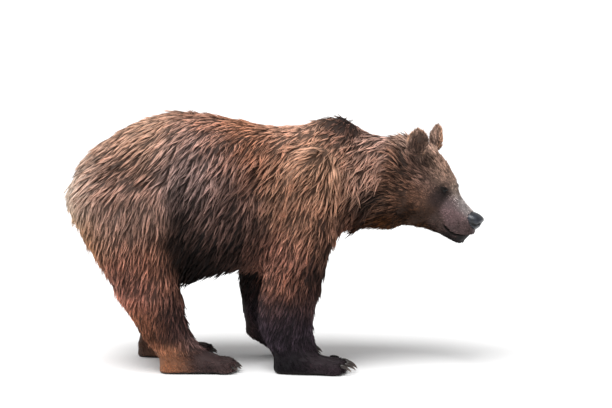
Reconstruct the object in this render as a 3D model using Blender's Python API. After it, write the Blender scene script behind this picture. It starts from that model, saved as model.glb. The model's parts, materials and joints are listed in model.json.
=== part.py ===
"""A brown bear standing on four feet, life size, out to the tips of its coat.

Metres, +Z up. +X is the way the bear faces and +Y is its left. The floor is Z = 0 and the origin
is under the middle of the animal. The body is lofted from sections, fused into one solid, and
parted into head, neck, trunk and limbs with thin cuts. Eyes, nose and claws are set into it.
"""

import math

import bmesh
import bpy
import numpy as np
from mathutils import Matrix, Vector

# ---------------------------------------------------------------- driving dimensions
GAP = 0.0004  # between two neighbouring pieces
TRUNK_VOXEL = 0.012
BODY_VOXEL = 0.0075
BODY_TRIANGLES = 3300
RING_POINTS = 36  # round each section
STEPS = 4  # rings from one station to the next

RIGHT, LEFT = -1, 1
SIDE_NAMES = {RIGHT: "right", LEFT: "left"}

HEAD_PIVOT = Vector((0.53, -0.02, 0.792))
HEAD_YAW = math.radians(-24)  # the face is turned to the bear's right
HEAD_PITCH = math.radians(36)  # and hangs forward
EAR_SPREAD = 0.110  # from the middle of the head
EYE_RADIUS = 0.0135

# The trunk and neck, in upright sections from tail to nape:
# x, top, bottom, half width, middle y, squareness, narrowing to the top
TRUNK = [
    (-0.858, 0.753, 0.645, 0.060, 0.000, 2.0, 0.00),
    (-0.831, 0.833, 0.580, 0.135, 0.000, 2.0, 0.00),
    (-0.776, 0.910, 0.520, 0.195, 0.000, 2.1, 0.05),
    (-0.700, 0.973, 0.470, 0.235, 0.000, 2.2, 0.10),
    (-0.600, 1.033, 0.420, 0.262, 0.000, 2.2, 0.12),
    (-0.500, 1.073, 0.378, 0.285, 0.000, 2.2, 0.10),
    (-0.400, 1.093, 0.335, 0.300, 0.000, 2.2, 0.06),
    (-0.300, 1.090, 0.346, 0.310, 0.000, 2.2, 0.04),
    (-0.200, 1.073, 0.372, 0.312, 0.000, 2.2, 0.04),
    (-0.100, 1.054, 0.389, 0.302, 0.000, 2.2, 0.06),
    (0.000, 1.038, 0.409, 0.290, 0.000, 2.2, 0.10),
    (0.080, 1.034, 0.424, 0.280, 0.000, 2.1, 0.14),
    (0.160, 1.042, 0.442, 0.268, 0.000, 2.1, 0.20),
    (0.240, 1.048, 0.469, 0.255, 0.000, 2.1, 0.25),
    (0.310, 1.042, 0.549, 0.238, 0.000, 2.1, 0.25),
    (0.380, 1.018, 0.552, 0.220, -0.004, 2.1, 0.20),
    (0.460, 1.002, 0.562, 0.205, -0.014, 2.1, 0.15),
    (0.540, 0.986, 0.574, 0.180, -0.030, 2.1, 0.15),
]

# The head, in sections across its own axis from nape to lips, in the head's own frame:
# along, top, bottom, half width, squareness, narrowing to the top
HEAD = [
    (-0.170, 0.130, -0.130, 0.110, 2.1, 0.20),
    (-0.100, 0.172, -0.188, 0.148, 2.1, 0.20),
    (-0.040, 0.190, -0.204, 0.160, 2.1, 0.22),
    (0.020, 0.203, -0.203, 0.162, 2.1, 0.24),
    (0.075, 0.208, -0.188, 0.155, 2.1, 0.26),
    (0.125, 0.195, -0.158, 0.143, 2.1, 0.25),
    (0.170, 0.171, -0.130, 0.124, 2.1, 0.18),
    (0.210, 0.150, -0.103, 0.102, 2.2, 0.12),
    (0.245, 0.122, -0.086, 0.084, 2.3, 0.12),
    (0.285, 0.104, -0.075, 0.073, 2.4, 0.14),
    (0.325, 0.098, -0.068, 0.067, 2.4, 0.14),
    (0.362, 0.090, -0.062, 0.062, 2.4, 0.10),
    (0.392, 0.070, -0.050, 0.048, 2.2, 0.05),
    (0.402, 0.040, -0.030, 0.026, 2.0, 0.00),
]

# Limbs, in level sections from the body down: height, back, front, middle y, half width
RIGHT_FORELEG = [
    (0.800, 0.060, 0.270, 0.150, 0.080),
    (0.700, 0.020, 0.310, 0.170, 0.118),
    (0.600, -0.015, 0.315, 0.178, 0.125),
    (0.510, -0.030, 0.282, 0.178, 0.122),
    (0.420, -0.048, 0.257, 0.175, 0.116),
    (0.320, -0.056, 0.224, 0.172, 0.108),
    (0.240, -0.062, 0.199, 0.172, 0.102),
    (0.180, -0.058, 0.197, 0.172, 0.098),
    (0.130, -0.035, 0.203, 0.172, 0.093),
    (0.090, -0.005, 0.206, 0.172, 0.090),
    (0.050, 0.020, 0.201, 0.172, 0.086),
]
LEFT_FORELEG = [
    (0.800, 0.020, 0.230, 0.150, 0.080),
    (0.700, -0.020, 0.270, 0.170, 0.118),
    (0.600, -0.070, 0.250, 0.178, 0.125),
    (0.510, -0.115, 0.200, 0.178, 0.120),
    (0.400, -0.156, 0.120, 0.172, 0.110),
    (0.300, -0.146, 0.075, 0.168, 0.098),
    (0.220, -0.136, 0.055, 0.166, 0.090),
    (0.165, -0.121, 0.050, 0.166, 0.086),
    (0.130, -0.106, 0.040, 0.166, 0.078),
]
RIGHT_HIND_LEG = [
    (0.900, -0.740, -0.420, 0.110, 0.080),
    (0.800, -0.815, -0.365, 0.150, 0.125),
    (0.690, -0.834, -0.345, 0.168, 0.138),
    (0.590, -0.808, -0.338, 0.178, 0.138),
    (0.500, -0.760, -0.335, 0.184, 0.132),
    (0.400, -0.698, -0.330, 0.186, 0.122),
    (0.310, -0.642, -0.332, 0.186, 0.112),
    (0.230, -0.586, -0.322, 0.184, 0.102),
    (0.160, -0.546, -0.296, 0.182, 0.094),
    (0.105, -0.496, -0.255, 0.180, 0.088),
    (0.060, -0.464, -0.240, 0.180, 0.084),
]
LEFT_HIND_LEG = [
    (0.900, -0.740, -0.420, 0.110, 0.080),
    (0.800, -0.815, -0.385, 0.150, 0.125),
    (0.690, -0.832, -0.380, 0.168, 0.138),
    (0.590, -0.806, -0.385, 0.178, 0.138),
    (0.500, -0.764, -0.395, 0.184, 0.130),
    (0.400, -0.706, -0.410, 0.186, 0.118),
    (0.310, -0.656, -0.415, 0.186, 0.108),
    (0.230, -0.632, -0.405, 0.184, 0.098),
    (0.160, -0.596, -0.385, 0.182, 0.092),
    (0.105, -0.574, -0.345, 0.180, 0.086),
    (0.060, -0.559, -0.330, 0.180, 0.082),
]

# Feet, in upright sections from the heel forward, from the heel on the floor:
# along, top, bottom, half width. Soles start below the floor, which then cuts them flat
FOREFOOT = [
    (0.000, 0.060, 0.012, 0.030),
    (0.020, 0.085, -0.007, 0.062),
    (0.080, 0.105, -0.007, 0.082),
    (0.150, 0.100, -0.007, 0.086),
    (0.200, 0.078, -0.007, 0.088),
    (0.250, 0.066, -0.007, 0.086),
    (0.280, 0.055, -0.007, 0.070),
]
PUSHING_FOREFOOT = [
    (0.000, 0.150, 0.100, 0.030),
    (0.025, 0.165, 0.080, 0.062),
    (0.080, 0.150, 0.050, 0.080),
    (0.140, 0.118, 0.015, 0.084),
    (0.190, 0.078, -0.007, 0.086),
    (0.240, 0.058, -0.007, 0.084),
    (0.265, 0.043, -0.007, 0.068),
]
HIND_FOOT = [
    (0.000, 0.070, 0.014, 0.030),
    (0.020, 0.100, -0.007, 0.058),
    (0.090, 0.118, -0.007, 0.076),
    (0.170, 0.103, -0.007, 0.080),
    (0.225, 0.084, -0.007, 0.084),
    (0.265, 0.068, -0.007, 0.082),
    (0.298, 0.058, -0.007, 0.070),
]
TOES = 5
TOE_PITCH = 0.0345
TOE_HALF_WIDTH = 0.0195
TOE_MASSES = ((0.044, 0.030, 0.036), (0.020, 0.031, 0.031))  # half length, middle and half height
CLAW_BEND = math.radians(50)  # from root to point
TOE_ARC = 4.5  # how fast the toe tips fall back to either side, per metre squared


# ---------------------------------------------------------------- mesh helpers
def made(name, vertices, faces):
    """A mesh object of these points and faces."""
    mesh = bpy.data.meshes.new(name)
    mesh.from_pydata([tuple(v) for v in vertices], [], faces)
    obj = bpy.data.objects.new(name, mesh)
    bpy.context.scene.collection.objects.link(obj)
    return obj


def between(stations):
    """The stations with STEPS rings from each to the next, on one smooth curve through them."""
    table = np.array(stations, float)
    rows = []
    for i in range(len(table) - 1):
        before = table[max(i - 1, 0)]
        here, there = table[i], table[i + 1]
        after = table[min(i + 2, len(table) - 1)]
        for t in np.arange(STEPS) / STEPS:
            rows.append(
                0.5
                * (
                    2 * here
                    + (there - before) * t
                    + (2 * before - 5 * here + 4 * there - after) * t**2
                    + (3 * here - before - 3 * there + after) * t**3
                )
            )
    return rows + [table[-1]]


def section(half_width, half_height, squareness=2.0, narrowing=0.0):
    """An egg-shaped outline as (across, up) pairs: 2 is round, more is squarer."""
    outline = []
    for turn in np.arange(RING_POINTS) * (2 * math.pi / RING_POINTS):
        c, s = math.cos(turn), math.sin(turn)
        across = half_width * math.copysign(abs(c) ** (2 / squareness), c)
        up = half_height * math.copysign(abs(s) ** (2 / squareness), s)
        outline.append((across * (1 - narrowing * s), up))
    return outline


def loft(name, rings):
    """A closed solid through the rings, which all have RING_POINTS points."""
    count = len(rings[0])
    faces = []
    for r in range(len(rings) - 1):
        for k in range(count):
            n = (k + 1) % count
            low, high = r * count, (r + 1) * count
            faces.append((low + k, low + n, high + n, high + k))
    faces.append(tuple(range(count)))
    faces.append(tuple((len(rings) - 1) * count + k for k in range(count)))
    obj = made(name, [p for ring in rings for p in ring], faces)
    face_outwards(obj)
    return obj


def face_outwards(obj):
    bm = bmesh.new()
    bm.from_mesh(obj.data)
    bmesh.ops.recalc_face_normals(bm, faces=bm.faces)
    bm.to_mesh(obj.data)
    bm.free()


def ellipsoid(name, place, radii, segments=32):
    """An ellipsoid with its own axes and middle given by the matrix place."""
    bm = bmesh.new()
    shape = place @ Matrix.Diagonal((*radii, 1.0))
    bmesh.ops.create_uvsphere(
        bm, u_segments=segments, v_segments=segments // 2, radius=1.0, matrix=shape
    )
    obj = made(name, [], [])
    bm.to_mesh(obj.data)
    bm.free()
    return obj


def block(name, place, size):
    """A box of that size, with its own axes and middle given by the matrix place."""
    bm = bmesh.new()
    bmesh.ops.create_cube(bm, size=1.0, matrix=place @ Matrix.Diagonal((*size, 1.0)))
    obj = made(name, [], [])
    bm.to_mesh(obj.data)
    bm.free()
    return obj


def prism(name, outline, axes, low, high):
    """A flat outline drawn on the first two of the axes, drawn out along the third."""
    a, b, c = ("XYZ".index(letter) for letter in axes)
    points = []
    for level in (low, high):
        for u, v in outline:
            p = [0.0, 0.0, 0.0]
            p[a], p[b], p[c] = u, v, level
            points.append(p)
    count = len(outline)
    faces = [tuple(range(count)), tuple(range(count, 2 * count))]
    for k in range(count):
        n = (k + 1) % count
        faces.append((k, n, count + n, count + k))
    obj = made(name, points, faces)
    face_outwards(obj)
    return obj


def evaluated(obj):
    """Applies every modifier of obj to its mesh."""
    graph = bpy.context.evaluated_depsgraph_get()
    finished = bpy.data.meshes.new_from_object(obj.evaluated_get(graph))
    obj.modifiers.clear()
    old = obj.data
    obj.data = finished
    bpy.data.meshes.remove(old)
    return obj


def discard(*objects):
    for obj in objects:
        bpy.data.objects.remove(obj)


def copy_of(obj, name):
    twin = bpy.data.objects.new(name, obj.data.copy())
    bpy.context.scene.collection.objects.link(twin)
    return twin


def joined(name, objects):
    """One object that holds the faces of all of them."""
    bm = bmesh.new()
    for obj in objects:
        bm.from_mesh(obj.data)
    result = made(name, [], [])
    bm.to_mesh(result.data)
    bm.free()
    discard(*objects)
    return result


def fused(name, objects, voxel, smoothing):
    """One skin round all the objects, with the creases between them smoothed."""
    obj = joined(name, objects)
    remesh = obj.modifiers.new("Fuse", "REMESH")
    remesh.mode = "VOXEL"
    remesh.voxel_size = voxel
    smooth = obj.modifiers.new("Smooth", "SMOOTH")
    smooth.factor = 0.5
    smooth.iterations = smoothing
    return evaluated(obj)


def boolean(obj, operation, other):
    modifier = obj.modifiers.new(operation.title(), "BOOLEAN")
    modifier.operation = operation
    modifier.solver = "EXACT"
    modifier.object = other
    return evaluated(obj)


def grown(obj, name, by):
    """A copy of a convex or rounded object with its surface moved out."""
    twin = copy_of(obj, name)
    bm = bmesh.new()
    bm.from_mesh(twin.data)
    bm.normal_update()
    moves = [v.normal * (by * v.calc_shell_factor()) for v in bm.verts]
    for vertex, move in zip(bm.verts, moves):
        vertex.co += move
    bm.to_mesh(twin.data)
    bm.free()
    return twin


def parted(rest, name, cutter):
    """Cuts the part of rest inside cutter off as a piece of its own, GAP away from what is left."""
    piece = copy_of(rest, name)
    boolean(piece, "INTERSECT", cutter)
    wider = grown(cutter, "wider", GAP)
    boolean(rest, "DIFFERENCE", wider)
    discard(cutter, wider)
    return piece


def set_into(holder, *insets):
    """Cuts a bed for each inset out of holder."""
    for inset in insets:
        bed = grown(inset, "bed", GAP)
        boolean(holder, "DIFFERENCE", bed)
        discard(bed)


def turned(point, yaw=0.0, pitch=0.0, roll=0.0):
    """A place at point, turned about X, then Y, then Z."""
    turn = Matrix.Rotation(yaw, 4, "Z") @ Matrix.Rotation(pitch, 4, "Y")
    return Matrix.Translation(point) @ turn @ Matrix.Rotation(roll, 4, "X")


LEVEL_HEAD = turned(HEAD_PIVOT, HEAD_YAW)
HEAD_FRAME = turned(HEAD_PIVOT, HEAD_YAW, HEAD_PITCH)


# ---------------------------------------------------------------- the body, as masses
def trunk_and_neck():
    rings = []
    for x, top, bottom, half, middle, squareness, narrowing in between(TRUNK):
        centre = (top + bottom) / 2
        outline = section(half, (top - bottom) / 2, squareness, narrowing)
        rings.append([(x, middle + y, centre + z) for y, z in outline])
    hump = ellipsoid("hump", turned((0.275, 0, 0.963), pitch=math.radians(8)), (0.17, 0.115, 0.108))
    crest = ellipsoid("crest", turned((0.305, 0, 1.040), pitch=math.radians(10)), (0.05, 0.05, 0.04))
    tail = ellipsoid("tail_mass", turned((-0.842, 0, 0.700)), (0.032, 0.040, 0.075))
    masses = [loft("trunk_mass", rings), hump, crest, tail]
    for side in (RIGHT, LEFT):
        shoulder = turned((0.165, side * 0.195, 0.735), pitch=math.radians(12))
        masses.append(ellipsoid("shoulder", shoulder, (0.150, 0.105, 0.235)))
        haunch = turned((-0.580, side * 0.150, 0.665), pitch=math.radians(-14))
        masses.append(ellipsoid("haunch", haunch, (0.225, 0.130, 0.265)))
    return masses


def limb(name, stations, side):
    rings = []
    for z, back, front, middle, half in between(stations):
        outline = section((front - back) / 2, half)
        rings.append([((front + back) / 2 + x, side * middle + y, z) for x, y in outline])
    return loft(name, rings)


def head_masses():
    rings = []
    for along, top, bottom, half, squareness, narrowing in between(HEAD):
        centre = (top + bottom) / 2
        outline = section(half, (top - bottom) / 2, squareness, narrowing)
        rings.append([HEAD_FRAME @ Vector((along, y, centre + z)) for y, z in outline])
    masses = [loft("head_mass", rings)]
    for side in (RIGHT, LEFT):
        brow = HEAD_FRAME @ turned((0.166, side * 0.050, 0.130), side * 0.5)
        masses.append(ellipsoid("brow", brow, (0.050, 0.032, 0.018)))
        cheek = HEAD_FRAME @ turned((0.130, side * 0.092, 0.010), side * -0.2)
        masses.append(ellipsoid("cheek", cheek, (0.090, 0.055, 0.100)))
        lip = HEAD_FRAME @ turned((0.345, side * 0.030, 0.014))
        masses.append(ellipsoid("lip", lip, (0.050, 0.036, 0.044)))
    return masses


class Foot:
    """One foot: its sections, and where its heel is and which way it points."""

    def __init__(self, name, side, sections, heel_x, across, heading):
        self.name = f"{name}_{SIDE_NAMES[side]}"
        self.side = side
        self.sections = sections
        self.place = turned((heel_x, side * across, 0.0), side * math.radians(heading))
        self.length = sections[-1][0]

    def toe(self, number):
        """(across, tip x) of one toe in the foot's own frame, counted from the inner one."""
        across = (number - (TOES - 1) / 2) * TOE_PITCH
        return self.side * across, self.length + 0.036 - TOE_ARC * across**2

    def masses(self):
        rings = []
        for x, top, bottom, half in between(self.sections):
            outline = section(half, (top - bottom) / 2, 2.5)
            rings.append([self.place @ Vector((x, y, (top + bottom) / 2 + z)) for y, z in outline])
        shapes = [loft("foot_mass", rings)]
        for number in range(TOES):
            across, tip = self.toe(number)
            for half_length, height, half_height in TOE_MASSES:
                middle = self.place @ Matrix.Translation((tip - half_length, across, height))
                radii = (half_length, TOE_HALF_WIDTH, half_height)
                shapes.append(ellipsoid("toe", middle, radii, 20))
        return shapes


FEET = [
    Foot("forepaw", RIGHT, FOREFOOT, 0.014, 0.172, 4),
    Foot("forepaw", LEFT, PUSHING_FOREFOOT, -0.112, 0.166, -2),
    Foot("hindpaw", RIGHT, HIND_FOOT, -0.456, 0.180, -4),
    Foot("hindpaw", LEFT, HIND_FOOT, -0.572, 0.180, -6),
]


def whole_body():
    """The fused body, its soles cut flat at the floor, in about BODY_TRIANGLES triangles."""
    big = trunk_and_neck()
    for name, stations, side in (
        ("foreleg", RIGHT_FORELEG, RIGHT),
        ("foreleg", LEFT_FORELEG, LEFT),
        ("hind_leg", RIGHT_HIND_LEG, RIGHT),
        ("hind_leg", LEFT_HIND_LEG, LEFT),
    ):
        big.append(limb(name, stations, side))
    masses = [fused("rough_body", big, TRUNK_VOXEL, 9)]
    for foot in FEET:
        masses += foot.masses()
    body = fused("body", masses + head_masses(), BODY_VOXEL, 4)
    thin = body.modifiers.new("Thin", "DECIMATE")
    thin.ratio = BODY_TRIANGLES / sum(len(p.vertices) - 2 for p in body.data.polygons)
    evaluated(body)
    under_floor = block("under_floor", Matrix.Translation((0, 0, -0.25)), (4.0, 4.0, 0.5))
    boolean(body, "DIFFERENCE", under_floor)
    discard(under_floor)
    return body


# ---------------------------------------------------------------- pieces set into the body
def claw(foot, number, length, thickness, height):
    """A horn claw that leaves the toe level and curves down to its point."""
    across, tip = foot.toe(number)
    root = foot.place @ Vector((tip - 0.014, across, height))
    fan = foot.side * math.radians(3.5) * (number - (TOES - 1) / 2)
    frame = turned(root, foot.place.to_euler().z + fan)
    rings = []
    sides = 6
    for t in (0.0, 0.3, 0.6, 0.85, 1.0):
        bend = CLAW_BEND * t
        x = length * math.sin(bend) / CLAW_BEND
        z = -length * (1 - math.cos(bend)) / CLAW_BEND
        radius = thickness * max(0.10, (1 - t**2.2))
        ring = []
        for k in range(sides):
            turn = 2 * math.pi * k / sides
            offset = Vector((0, 0.8 * math.cos(turn), 1.15 * math.sin(turn))) * radius
            ring.append(frame @ (Vector((x, 0, z)) + Matrix.Rotation(bend, 4, "Y") @ offset))
        rings.append(ring)
    return loft(f"claw_{foot.name}_{number + 1}", rings)


def eye(side):
    """An eyeball in its socket, looking forward and out."""
    middle = HEAD_FRAME @ Vector((0.211, side * 0.068, 0.107))
    name = f"eye_{SIDE_NAMES[side]}"
    return ellipsoid(name, turned(middle), (EYE_RADIUS,) * 3, 12)


def ear_frame(side):
    """The middle of an ear: its X is the way the ear opens, forward and out."""
    middle = LEVEL_HEAD @ Vector((0.131, side * EAR_SPREAD, 0.150))
    return turned(middle, HEAD_YAW + side * math.radians(44), math.radians(9))


def ear(side):
    """A thick round leaf, hollowed on the side that opens forward."""
    leaf = ellipsoid(f"ear_{SIDE_NAMES[side]}", ear_frame(side), (0.026, 0.054, 0.064), 16)
    hollow_place = ear_frame(side) @ Matrix.Translation((0.029, 0, 0.014))
    hollow = ellipsoid("hollow", hollow_place, (0.024, 0.037, 0.042), 12)
    boolean(leaf, "DIFFERENCE", hollow)
    discard(hollow)
    return leaf


def nose():
    """The bare nose pad, broader than it is high, with a flat front."""
    rings = []
    for along, top, bottom, half in (
        (0.346, 0.090, 0.052, 0.026),
        (0.356, 0.095, 0.044, 0.033),
        (0.374, 0.096, 0.038, 0.036),
        (0.390, 0.091, 0.040, 0.034),
        (0.400, 0.082, 0.048, 0.026),
        (0.404, 0.074, 0.056, 0.015),
    ):
        outline = section(half, (top - bottom) / 2, 2.4, -0.12)[::2]
        centre = (top + bottom) / 2
        rings.append([HEAD_FRAME @ Vector((along, y, centre + z)) for y, z in outline])
    return loft("nose", rings)


# ---------------------------------------------------------------- parting the body
def ahead_of(point, yaw, pitch):
    """A big block in front of a plane through point that faces along yaw and pitch."""
    place = turned(point, yaw, pitch) @ Matrix.Translation((0.5, 0, 0))
    return block("ahead", place, (1.0, 0.9, 0.9))


def head_pieces(head):
    """The nose, eyes and ears, set into the head, and the jaw, parted from it."""
    insets = [nose()]
    for side in (RIGHT, LEFT):
        insets += [eye(side), ear(side)]
    set_into(head, *insets)
    mouth_line = [(0.268, -0.030), (0.460, -0.006), (0.460, -0.20), (0.215, -0.20), (0.205, -0.085)]
    cutter = prism("jaw_cutter", mouth_line, "XZY", -0.2, 0.2)
    cutter.data.transform(HEAD_FRAME)
    return insets + [parted(head, "jaw", cutter)]


def foreleg_pieces(rest, side):
    """The forearm with its paw, and the upper leg with the lower shoulder."""
    name = SIDE_NAMES[side]
    behind_heel = -0.11 if side == RIGHT else -0.16
    inner, outer = side * 0.0006, side * 0.60
    low = [(inner, -0.1), (inner, 0.360), (outer, 0.360), (outer, -0.1)]
    forearm = parted(rest, f"forearm_{name}", prism("cutter", low, "YZX", behind_heel, 0.42))
    shoulder = [(inner, 0.30), (inner, 0.42), (side * 0.36, 0.80), (outer, 0.80), (outer, 0.30)]
    start, end = (-0.085, 0.300) if side == RIGHT else (-0.150, 0.280)
    upper = parted(rest, f"upper_foreleg_{name}", prism("cutter", shoulder, "YZX", start, end))
    return [forearm, upper]


def hind_leg_pieces(rest, side):
    """The shank with its paw, and the thigh."""
    name = SIDE_NAMES[side]
    past_toes = -0.12 if side == RIGHT else -0.19
    inner, outer = side * 0.0006, side * 0.60
    low = [(inner, -0.1), (inner, 0.325), (outer, 0.325), (outer, -0.1)]
    shank = parted(rest, f"shank_{name}", prism("cutter", low, "YZX", -0.95, past_toes))
    haunch = [(inner, 0.20), (inner, 0.46), (side * 0.36, 0.86), (outer, 0.86), (outer, 0.20)]
    end = -0.352 if side == RIGHT else -0.378
    thigh = parted(rest, f"thigh_{name}", prism("cutter", haunch, "YZX", -1.0, end))
    return [shank, thigh]


def paw_pieces(limbs, foot):
    """The paw below the wrist or ankle, with its claws set into its toes."""
    kind = "forearm" if foot.name.startswith("forepaw") else "shank"
    whole = next(obj for obj in limbs if obj.name == f"{kind}_{SIDE_NAMES[foot.side]}")
    lift = 0.120 if foot.sections is PUSHING_FOREFOOT else 0.112
    tilt = math.radians(18) if foot.sections is PUSHING_FOREFOOT else 0.0
    place = foot.place @ turned((0.16, 0.0, lift - 0.30), pitch=tilt)
    paw = parted(whole, foot.name, block("ankle", place, (0.80, 0.36, 0.60)))
    size = (0.056, 0.0085, 0.042) if kind == "forearm" else (0.032, 0.0070, 0.030)
    claws = [claw(foot, number, *size) for number in range(TOES)]
    set_into(paw, *claws)
    return [paw] + claws


def bear():
    """Every piece of the bear."""
    rest = whole_body()
    head_plane = ahead_of((0.515, -0.02, 0.80), math.radians(-12), math.radians(15))
    head = parted(rest, "head", head_plane)
    pieces = [head] + head_pieces(head)
    tail_place = turned((-0.905, 0, 0.700))
    pieces.append(parted(rest, "tail", block("tail_cutter", tail_place, (0.115, 0.075, 0.155))))
    limbs = []
    for side in (RIGHT, LEFT):
        limbs += foreleg_pieces(rest, side) + hind_leg_pieces(rest, side)
    for foot in FEET:
        pieces += paw_pieces(limbs, foot)
    pieces += limbs
    neck_plane = ahead_of((0.345, 0, 0.80), 0.0, math.radians(13))
    pieces.append(parted(rest, "neck", neck_plane))
    behind = turned((-0.415, 0, 0.60)) @ Matrix.Translation((-0.5, 0, 0))
    pieces.append(parted(rest, "rump", block("rump_cutter", behind, (1.0, 2.0, 2.0))))
    behind = turned((-0.075, 0, 0.60)) @ Matrix.Translation((-0.5, 0, 0))
    pieces.append(parted(rest, "belly", block("belly_cutter", behind, (1.0, 2.0, 2.0))))
    rest.name = "chest"
    return pieces + [rest]


# ---------------------------------------------------------------- materials and placing
def material(name, colour, roughness):
    """A plain surface of that linear colour."""
    mat = bpy.data.materials.new(name)
    mat.use_nodes = True
    shader = mat.node_tree.nodes["Principled BSDF"]
    shader.inputs["Base Color"].default_value = (*colour, 1.0)
    shader.inputs["Roughness"].default_value = roughness
    shader.inputs["Metallic"].default_value = 0.0
    return mat


def colour_pieces(pieces):
    """Gives each piece a material of its own, by what the real surface is."""
    finishes = (
        ("eye", (0.012, 0.008, 0.006), 0.08),
        ("nose", (0.020, 0.021, 0.027), 0.35),
        ("claw", (0.040, 0.030, 0.026), 0.40),
        ("forepaw", (0.030, 0.022, 0.024), 0.90),
        ("forearm", (0.060, 0.036, 0.032), 0.90),
        ("", (0.180, 0.095, 0.065), 0.90),
    )
    for piece in pieces:
        colour, roughness = next((c, r) for start, c, r in finishes if piece.name.startswith(start))
        piece.data.materials.clear()
        piece.data.materials.append(material(piece.name, colour, roughness))
        piece.data.shade_smooth()
        piece.data.set_sharp_from_angle(angle=math.radians(40))


def stand_over_origin(pieces):
    """Moves the bear so that the middle of its box is over the origin, without lifting it."""
    corners = np.array([v.co for piece in pieces for v in piece.data.vertices])
    middle = (corners.min(0) + corners.max(0)) / 2
    for piece in pieces:
        piece.data.transform(Matrix.Translation((-middle[0], -middle[1], 0.0)))


def main():
    for obj in list(bpy.data.objects):
        bpy.data.objects.remove(obj)
    pieces = bear()
    colour_pieces(pieces)
    stand_over_origin(pieces)


main()
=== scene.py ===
"""A standing brown bear: its skin, its coat of locks, its face, feet and claws, and a plain studio."""

import json
import math

import bmesh
import bpy
import numpy as np
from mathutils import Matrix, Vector, noise
from mathutils.bvhtree import BVHTree
from mathutils.kdtree import KDTree

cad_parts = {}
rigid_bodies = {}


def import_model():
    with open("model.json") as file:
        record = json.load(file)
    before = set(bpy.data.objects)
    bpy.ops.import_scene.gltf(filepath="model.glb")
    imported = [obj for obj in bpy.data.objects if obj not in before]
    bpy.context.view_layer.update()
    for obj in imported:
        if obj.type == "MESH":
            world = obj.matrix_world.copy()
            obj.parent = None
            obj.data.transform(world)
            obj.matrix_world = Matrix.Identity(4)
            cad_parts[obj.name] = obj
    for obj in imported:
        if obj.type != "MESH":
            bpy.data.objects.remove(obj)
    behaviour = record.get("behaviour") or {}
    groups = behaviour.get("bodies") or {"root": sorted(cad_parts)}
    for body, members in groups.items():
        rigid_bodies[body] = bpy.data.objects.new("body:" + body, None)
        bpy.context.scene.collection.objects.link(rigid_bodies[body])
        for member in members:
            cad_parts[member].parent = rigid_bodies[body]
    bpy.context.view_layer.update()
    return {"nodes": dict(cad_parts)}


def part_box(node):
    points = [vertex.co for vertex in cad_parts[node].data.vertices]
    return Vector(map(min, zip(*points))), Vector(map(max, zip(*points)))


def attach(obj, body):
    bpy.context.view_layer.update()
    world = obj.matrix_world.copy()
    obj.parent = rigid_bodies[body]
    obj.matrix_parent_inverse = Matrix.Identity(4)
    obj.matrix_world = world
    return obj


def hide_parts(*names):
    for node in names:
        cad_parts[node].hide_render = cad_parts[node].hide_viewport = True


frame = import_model()
noise.seed_set(5)  # so that the coat wanders the same way each time

SKIN_VOXEL = 0.011
BROW_SLOPE = 13.7  # degrees that the line from the eyes to the nose falls, in the head's own frame
BETWEEN_EYES = np.array([0.211, 0.0, 0.107])  # forward, aside and up in that frame
NOSE_TIP = np.array([0.40, 0.0, 0.03])
EYE_RADIUS = 0.0128
LID_RADIUS = 0.0152
EYE_SLIT = (0.0135, 0.0062)  # half its length and half its height
LIP_GROOVE = 0.0085
TOE_FURROW = 0.011
COAT_PATCH = 0.003  # a lock's patch on the coat's flat map
MAX_LOCK_TRIANGLES = 195_000  # in one piece of coat


# -------------------- small helpers
def linear(code):
    """An sRGB hex colour as linear RGB."""
    values = np.array([int(code[i : i + 2], 16) / 255 for i in (0, 2, 4)])
    return np.where(values <= 0.04045, values / 12.92, ((values + 0.055) / 1.055) ** 2.4)


def smooth_step(low, high, value):
    t = np.clip((value - low) / (high - low), 0.0, 1.0)
    return t * t * (3 - 2 * t)


def unit(vectors):
    return vectors / np.maximum(np.linalg.norm(vectors, axis=-1, keepdims=True), 1e-9)


def add(tree, kind, inputs=None, **settings):
    """Adds a node, sets it up, and links or fills its inputs."""
    node = tree.nodes.new(kind)
    for name, value in settings.items():
        setattr(node, name, value)
    for name, value in (inputs or {}).items():
        socket = node.inputs[name]
        if isinstance(value, bpy.types.NodeSocket):
            tree.links.new(value, socket)
        else:
            socket.default_value = value
    return node


def scaled(tree, vector, amount):
    inputs = {0: vector, "Scale": amount}
    return add(tree, "ShaderNodeVectorMath", inputs, operation="SCALE").outputs[0]


def array_of(items, name, width, kind=np.float32):
    values = np.empty(len(items) * width, kind)
    items.foreach_get(name, values)
    return values.reshape(-1, width) if width > 1 else values


def write(mesh, name, kind, values, domain="POINT"):
    """Stores values as an attribute of the mesh."""
    layer = mesh.attributes.new(name, kind, domain)
    field = {"FLOAT": "value", "INT": "value", "FLOAT_COLOR": "color"}.get(kind, "vector")
    layer.data.foreach_set(field, np.ascontiguousarray(values, np.float32).ravel())


def shown(mesh, name):
    obj = bpy.data.objects.new(name, mesh)
    bpy.context.scene.collection.objects.link(obj)
    return obj


def welded(name):
    """A copy of a node's mesh with the points that lie on each other made one."""
    bm = bmesh.new()
    bm.from_mesh(bpy.data.objects[name].data)
    bmesh.ops.remove_doubles(bm, verts=bm.verts, dist=1e-5)
    return bm


def face_outward(mesh):
    """Turns all faces of a closed mesh outward and shades it smooth."""
    bm = bmesh.new()
    bm.from_mesh(mesh)
    bmesh.ops.recalc_face_normals(bm, faces=bm.faces)
    bm.to_mesh(mesh)
    bm.free()
    mesh.shade_smooth()


def placed(obj, material, slot, *replaced):
    """Gives a finished piece its one material and its body, and hides the nodes it replaces. slot is
    not used.
    """
    obj.data.materials.clear()
    obj.data.materials.append(material)
    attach(obj, "root")
    if replaced:
        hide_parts(*replaced)


def evaluated(obj):
    """Applies the modifiers of obj."""
    graph = bpy.context.evaluated_depsgraph_get()
    finished = bpy.data.meshes.new_from_object(obj.evaluated_get(graph))
    obj.modifiers.clear()
    obj.data = finished
    return obj


def box_middle(name):
    low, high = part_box(name)
    return (np.array(low) + np.array(high)) / 2


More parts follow.
